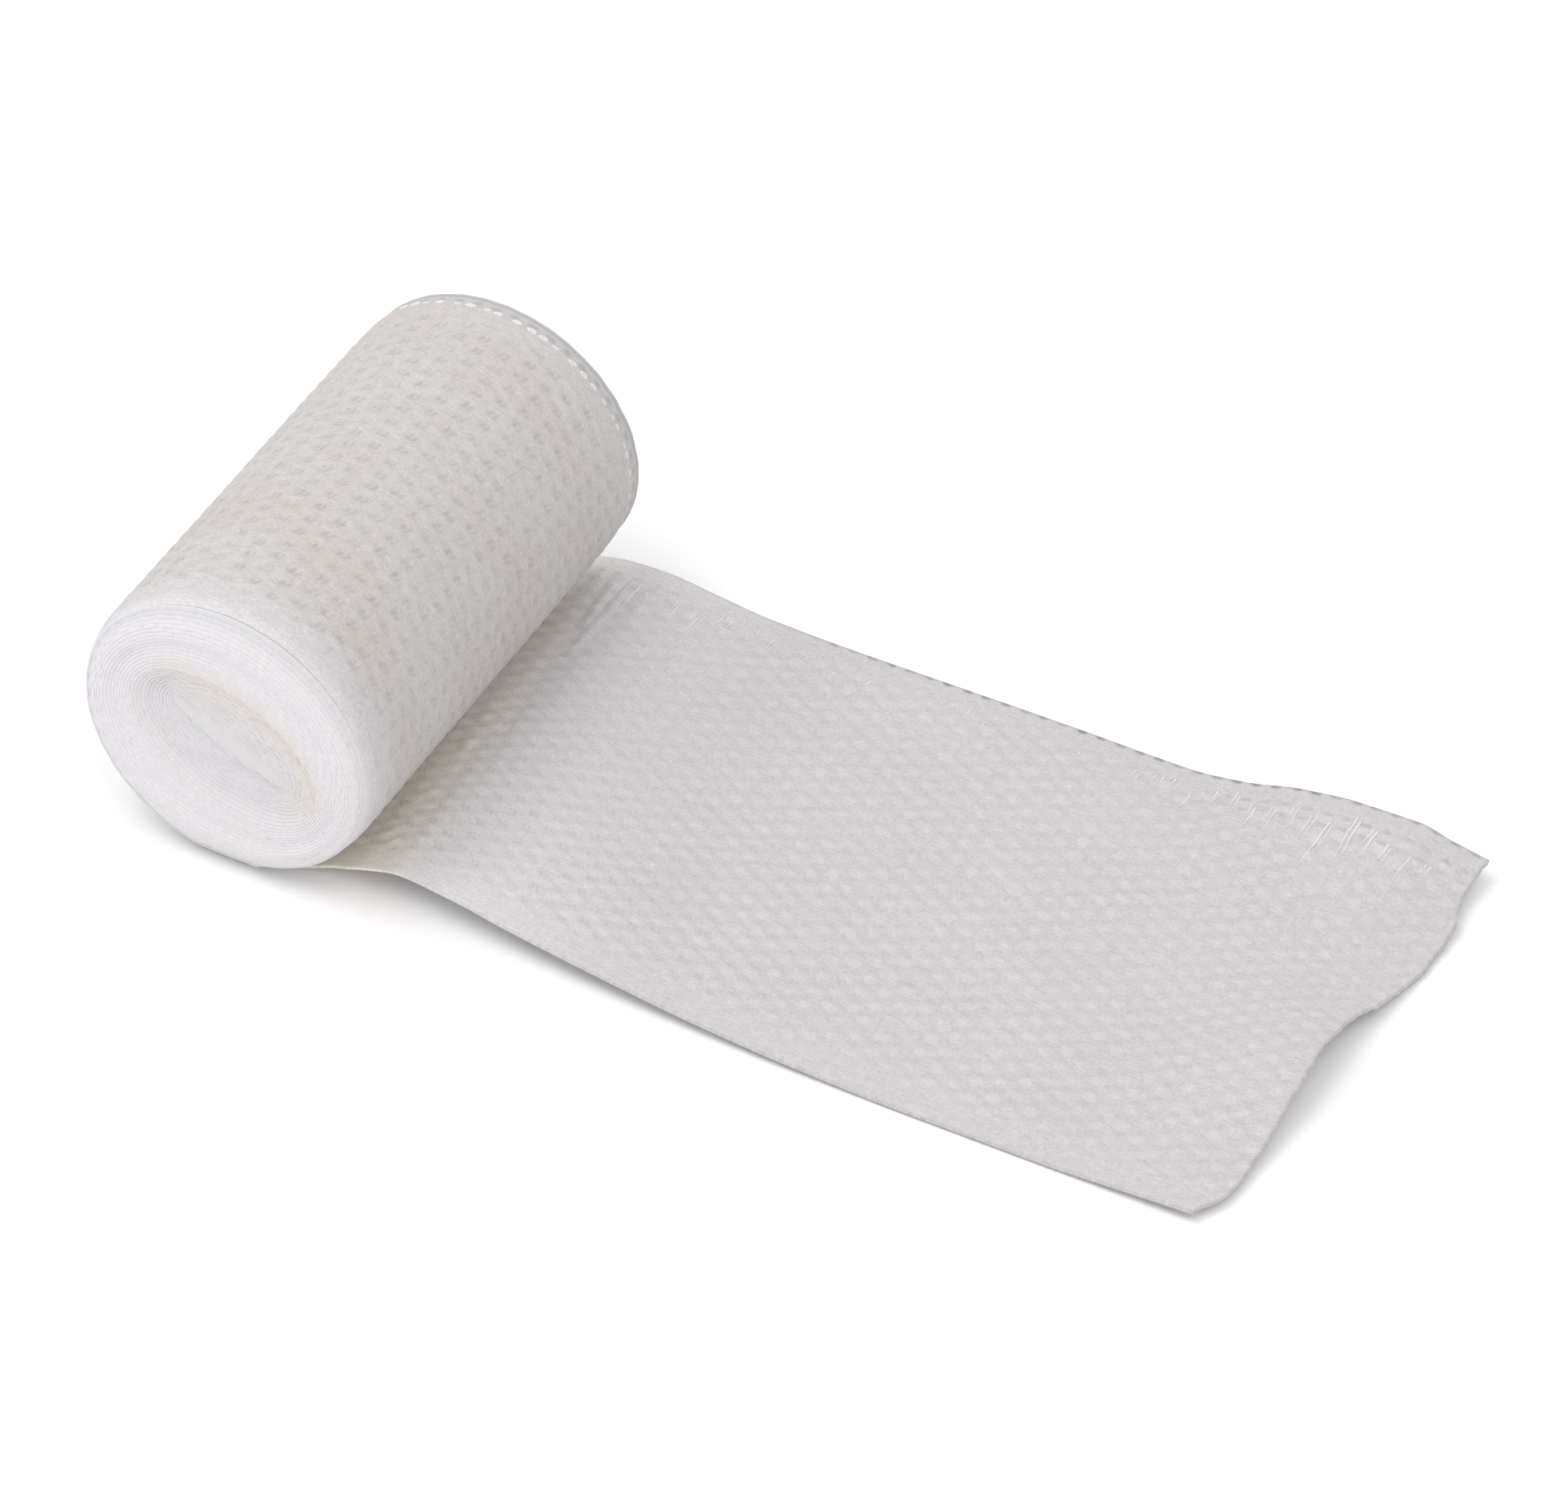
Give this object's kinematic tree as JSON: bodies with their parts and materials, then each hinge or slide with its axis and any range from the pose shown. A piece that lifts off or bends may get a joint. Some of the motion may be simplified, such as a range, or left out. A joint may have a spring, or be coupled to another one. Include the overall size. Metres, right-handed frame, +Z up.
{
  "type": "gauze bandage roll",
  "caption": "Soft roll of conforming gauze lying on its side, its loose end unrolled flat beside it with slightly lifted edges.",
  "frame": {"origin": "middle of the footprint, on the surface that the roll and its loose end lie on", "axes": "+X along the loose end, away from the roll; +Y along the roll's axis; +Z up"},
  "size_m": [0.1628, 0.0768, 0.042],
  "materials": {
    "wound_gauze": "matt, soft knitted gauze",
    "loose_gauze": "matt, soft knitted gauze"
  },
  "bodies": {
    "root": {"wound_roll": "wound_gauze", "loose_end": "loose_gauze"}
  },
  "joints": []
}
